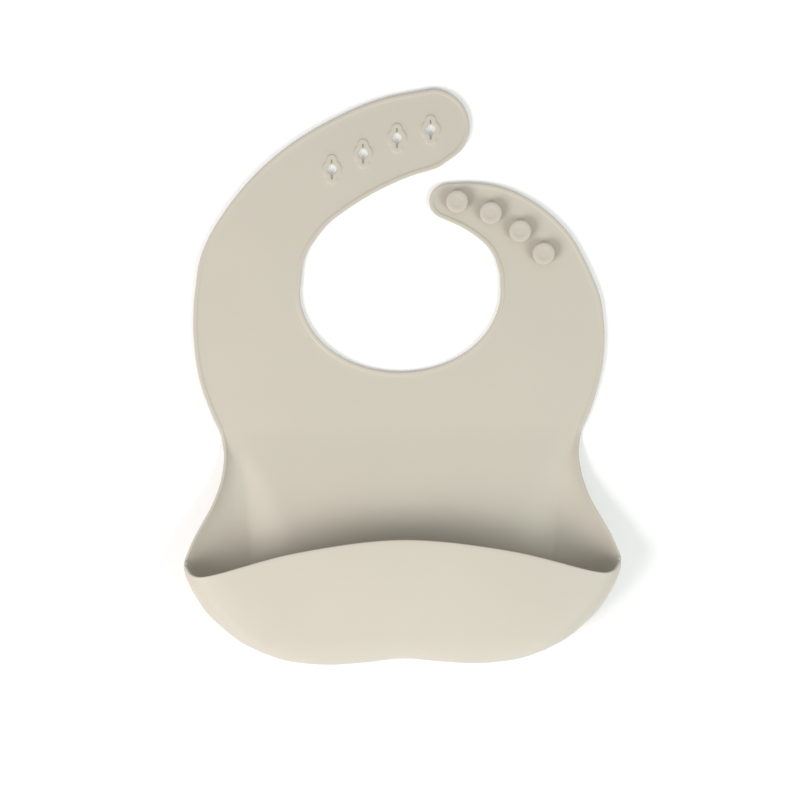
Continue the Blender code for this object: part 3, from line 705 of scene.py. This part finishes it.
def pocket_skin():
    """The pocket as one closed sheet: both faces, the moulded free edge, and the cut at the waist."""
    share = np.linspace(0, 1, BACK_ROWS + 1)
    down = share[:, None]
    middle_share = np.linspace(0, 1, MIDDLE_COLUMNS + 1)[None, :] + 0 * down
    wing_share = side_shares(share)
    middle = pocket_columns(middle_share, down + 0 * middle_share, False)
    side = pocket_columns(wing_share, down + 0 * wing_share, True)
    right = np.concatenate([middle, side], axis=1)
    outer = np.concatenate([right[:, :0:-1] * (-1, 1, 1), right], axis=1)
    columns, rows = outer.shape[1], outer.shape[0]

    normal = np.cross(np.gradient(outer, axis=1), np.gradient(outer, axis=0))
    normal = steadied(blurred(unit(normal), CREASE_SOFTENING))
    half = columns // 2
    from_middle = np.abs(np.arange(columns) - half)
    wing = np.clip((from_middle - MIDDLE_COLUMNS) / (half - MIDDLE_COLUMNS), 0, 1)
    row_share = np.clip(np.arange(rows) / BACK_ROWS, 0, 1)
    thick = 1 + (TIP_THICK / THICK - 1) * ease(row_share)[:, None, None] * wing[None, :, None] ** 2

    # heights of both faces above the back face, by distance from the free edge
    column_ring = half - from_middle - 1
    row_ring = rows - 1 - np.arange(rows) - 1
    back_z = np.zeros((rows, columns))
    front_z = np.full((rows, columns), THICK)
    for k in range(len(EDGE_D)):
        at_column = column_ring == k
        back_z[:, at_column] = np.maximum(back_z[:, at_column], EDGE_BACK[k])
        front_z[:, at_column] = np.minimum(front_z[:, at_column], EDGE_FRONT[k])
        at_row = (row_ring == k) & (k < RIM_RINGS)
        back_z[at_row] = np.maximum(back_z[at_row], EDGE_BACK[k])
        front_z[at_row] = np.minimum(front_z[at_row], EDGE_FRONT[k])
    for k in range(len(EDGE_D)):
        at_column = column_ring == k
        bead = BEAD[k] * bead_share(outer[: BACK_ROWS + 1, at_column, 1])
        front_z[: BACK_ROWS + 1, at_column] += bead
    at_border = np.zeros((rows, columns), bool)
    at_border[:, column_ring < 0] = True
    at_border[-1] = True
    back_z[at_border] = front_z[at_border] = THICK / 2

    back = outer - normal * thick * back_z[..., None]
    front = outer - normal * thick * front_z[..., None]
    front[0, :, :2] = back[0, :, :2] = outer[0, :, :2]
    skin = Skin()
    skin.grid(back)
    skin.grid(front, flip=True)
    skin.grid([back[0], front[0]], flip=True)
    return skin


# Studs -------------------------------------------------------------------------------------------


def stud(number, place):
    """A stud turned round its own axis, its foot running into the strap."""
    skin = Skin()
    angles = np.linspace(0, 2 * math.pi, STUD_SIDES + 1)
    rings = []
    for radius, z in STUD_PROFILE:
        ring = np.stack([place[0] + radius * np.cos(angles), place[1] + radius * np.sin(angles)], axis=1)
        rings.append(with_z(ring, THICK + z))
    skin.grid(rings)
    foot = np.array([*place, THICK + STUD_PROFILE[0][1]])
    top = np.array([*place, THICK + STUD_PROFILE[-1][1] + STUD_CROWN])
    for a, b in zip(rings[0], rings[0][1:]):
        skin.face(foot, b, a)
    for a, b in zip(rings[-1], rings[-1][1:]):
        skin.face(top, a, b)
    return skin.make(f"stud_{number}")


# Material ----------------------------------------------------------------------------------------


def silicone(name, colour):
    """Matte moulded silicone: a fine even grain, a faint mottle and slightly uneven gloss."""
    made = bpy.data.materials.new(name)
    made.use_nodes = True
    nodes, links = made.node_tree.nodes, made.node_tree.links
    shader = nodes["Principled BSDF"]
    shader.inputs["IOR"].default_value = SILICONE_IOR
    shader.inputs["Sheen Weight"].default_value = SHEEN
    shader.inputs["Sheen Roughness"].default_value = SHEEN_ROUGHNESS
    place = nodes.new("ShaderNodeTexCoord")

    def noise(scale, detail):
        node = nodes.new("ShaderNodeTexNoise")
        node.inputs["Scale"].default_value = scale
        node.inputs["Detail"].default_value = detail
        links.new(place.outputs["Object"], node.inputs["Vector"])
        return node

    mottle = noise(*MOTTLE)
    mix = nodes.new("ShaderNodeMix")
    mix.data_type = "RGBA"
    mix.inputs["A"].default_value = (*[c * MOTTLE_SHADES[0] for c in colour], 1)
    mix.inputs["B"].default_value = (*[c * MOTTLE_SHADES[1] for c in colour], 1)
    links.new(mottle.outputs["Fac"], mix.inputs["Factor"])
    links.new(mix.outputs["Result"], shader.inputs["Base Color"])
    gloss = nodes.new("ShaderNodeMapRange")
    gloss.inputs["From Min"].default_value, gloss.inputs["From Max"].default_value = GLOSS_NOISE
    gloss.inputs["To Min"].default_value, gloss.inputs["To Max"].default_value = GLOSS_ROUGHNESS
    links.new(noise(*GLOSS).outputs["Fac"], gloss.inputs["Value"])
    links.new(gloss.outputs["Result"], shader.inputs["Roughness"])
    grain = noise(*GRAIN)
    bump = nodes.new("ShaderNodeBump")
    bump.inputs["Strength"].default_value = GRAIN_STRENGTH
    bump.inputs["Distance"].default_value = GRAIN_DEPTH
    links.new(grain.outputs["Fac"], bump.inputs["Height"])
    links.new(bump.outputs["Normal"], shader.inputs["Normal"])
    return made


# Scene -------------------------------------------------------------------------------------------


def softbox(name, x, power, colour):
    """A square area light that points at the middle of the table."""
    place = Vector((x, SOFTBOX_Y, SOFTBOX_Z))
    data = bpy.data.lights.new(name, "AREA")
    data.shape = "SQUARE"
    data.size = SOFTBOX_SIDE
    data.energy = power
    data.color = colour
    made = bpy.data.objects.new(name, data)
    made.location = place
    made.rotation_euler = (-place).to_track_quat("-Z", "Y").to_euler()
    bpy.context.scene.collection.objects.link(made)


def studio():
    """A pale table, a softbox to each side in front of the bib, and even light from all around."""
    mesh = bpy.data.meshes.new("table")
    corners = [(x * TABLE_HALF, y * TABLE_HALF, 0) for x, y in ((-1, -1), (1, -1), (1, 1), (-1, 1))]
    mesh.from_pydata(corners, [], [(0, 1, 2, 3)])
    table = bpy.data.objects.new("table", mesh)
    table.location.z = -TABLE_DROP
    bpy.context.scene.collection.objects.link(table)
    white = bpy.data.materials.new("table_white")
    white.use_nodes = True
    shader = white.node_tree.nodes["Principled BSDF"]
    shader.inputs["Base Color"].default_value = (TABLE_WHITE, TABLE_WHITE, TABLE_WHITE, 1)
    shader.inputs["Roughness"].default_value = TABLE_ROUGHNESS
    shader.inputs["Specular IOR Level"].default_value = TABLE_SPECULAR
    shader.inputs["Emission Color"].default_value = (1, 1, 1, 1)
    shader.inputs["Emission Strength"].default_value = TABLE_GLOW
    mesh.materials.append(white)

    softbox("softbox_left", -SOFTBOX_X, LEFT_POWER, LEFT_COLOUR)
    softbox("softbox_right", SOFTBOX_X, RIGHT_POWER, RIGHT_COLOUR)
    world = bpy.data.worlds.new("studio")
    world.use_nodes = True
    sky = world.node_tree.nodes["Background"]
    sky.inputs["Color"].default_value = (1, 1, 1, 1)
    sky.inputs["Strength"].default_value = SKY_STRENGTH
    bpy.context.scene.world = world
    bpy.context.scene.view_settings.view_transform = "Standard"
    bpy.context.scene.view_settings.look = "None"


def camera():
    """Straight above the bib, turned by the small angle at which the bib lies."""
    data = bpy.data.cameras.new("camera")
    data.lens = LENS
    data.sensor_width = SENSOR_WIDTH
    data.clip_end = CAMERA_FAR
    made = bpy.data.objects.new("camera", data)
    made.location = (CAMERA_X, CAMERA_Y, FRAME_WIDTH * LENS / SENSOR_WIDTH)
    made.rotation_euler = (0, 0, CAMERA_ROLL)
    bpy.context.scene.collection.objects.link(made)
    bpy.context.scene.camera = made


def bend(piece):
    """Bakes a sheet's placement into its mesh; nothing is bent."""
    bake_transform(piece)


def flat_sheets():
    """The sheets above the waist, by name."""
    left_chest = [place_of(p) for p in CUT_LEFT_CHEST]
    left_shoulder = [place_of(p) for p in CUT_LEFT_SHOULDER]
    left_middle = [place_of(p) for p in CUT_LEFT_MIDDLE]
    right_chest = [place_of(p) for p in CUT_RIGHT_CHEST]
    right_shoulder = [place_of(p) for p in CUT_RIGHT_SHOULDER]
    stretches = {
        "chest": [(0, left_chest[0]), (left_chest[1], right_chest[1]), (right_chest[0], len(OUTLINE) - 1)],
        "hole_shoulder": [(left_chest[0], left_shoulder[0]), (left_shoulder[1], left_chest[1])],
        "hole_middle": [(left_shoulder[0], left_middle[0]), (left_middle[1], left_shoulder[1])],
        "hole_tip": [(left_middle[0], left_middle[1])],
        "button_shoulder": [(right_chest[1], right_shoulder[1]), (right_shoulder[0], right_chest[0])],
        "button_tip": [(right_shoulder[1], right_shoulder[0])],
    }
    collars = [np.array(c) + collar_loop(COLLAR_SIDE[0][0]) for c in KEYHOLES]
    holes = [np.array(c) + keyhole_loop(BACK_LIP[-1][0]) for c in KEYHOLES]
    sheets = {}
    for name, runs in stretches.items():
        with_holes = (collars, holes) if name == "hole_tip" else ()
        sheets[name] = flat_sheet(runs, *with_holes)
    for centre in KEYHOLES:
        add_keyhole(sheets["hole_tip"], centre)
    return sheets


def main():
    body_silicone = silicone("bib_silicone", SILICONE)
    stud_silicone = silicone("stud_silicone", tuple(c * STUD_SHADE for c in SILICONE))
    sheets = {**flat_sheets(), "pocket": pocket_skin()}
    made = {}
    for name, skin in sheets.items():
        piece = skin.make("bib_" + name)
        piece.data.materials.append(body_silicone)
        made[name] = piece

    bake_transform(made["pocket"])
    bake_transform(made["chest"])
    bend(made["hole_shoulder"])
    bend(made["hole_middle"])
    bend(made["hole_tip"])
    bend(made["button_shoulder"])
    bend(made["button_tip"])

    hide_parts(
        "lower_panel", "left_gusset", "right_gusset", "pocket_bottom", "pocket_front"
    )
    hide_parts("chest_panel")
    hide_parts("hole_strap_shoulder")
    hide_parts("hole_strap_middle")
    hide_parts("hole_strap_tip")
    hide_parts("button_strap_shoulder")
    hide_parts("button_strap_tip")
    for number, place in enumerate(STUDS, 1):
        piece = stud(number, place)
        piece.data.materials.append(stud_silicone)
        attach(piece, "button_tip" if number <= TIP_STUDS else "button_shoulder")
        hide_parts(f"button_{number}")
    studio()
    camera()


main()
